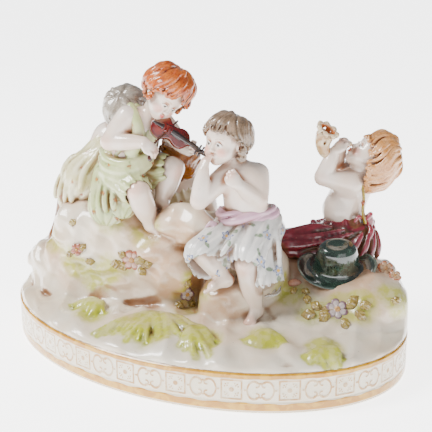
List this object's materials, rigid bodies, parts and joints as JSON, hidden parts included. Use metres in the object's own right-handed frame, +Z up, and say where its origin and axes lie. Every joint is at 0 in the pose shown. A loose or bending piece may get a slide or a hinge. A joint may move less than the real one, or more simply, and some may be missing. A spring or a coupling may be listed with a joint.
{
  "type": "porcelain figure group",
  "caption": "Porcelain group of putti making music on rockwork above an oval plinth with an embossed, gilded band; stands flat as a table ornament.",
  "frame": {"origin": "centre of the flat underside", "axes": "+X along the oval base's long axis, +Z up, the front of the group faces -Y"},
  "size_m": [0.3014, 0.208, 0.2008],
  "materials": {
    "porcelain": "clear gloss glaze over painted enamels, with gilding on the band"
  },
  "bodies": {
    "root": {"putti_group_on_oval_base": "porcelain"}
  },
  "joints": []
}
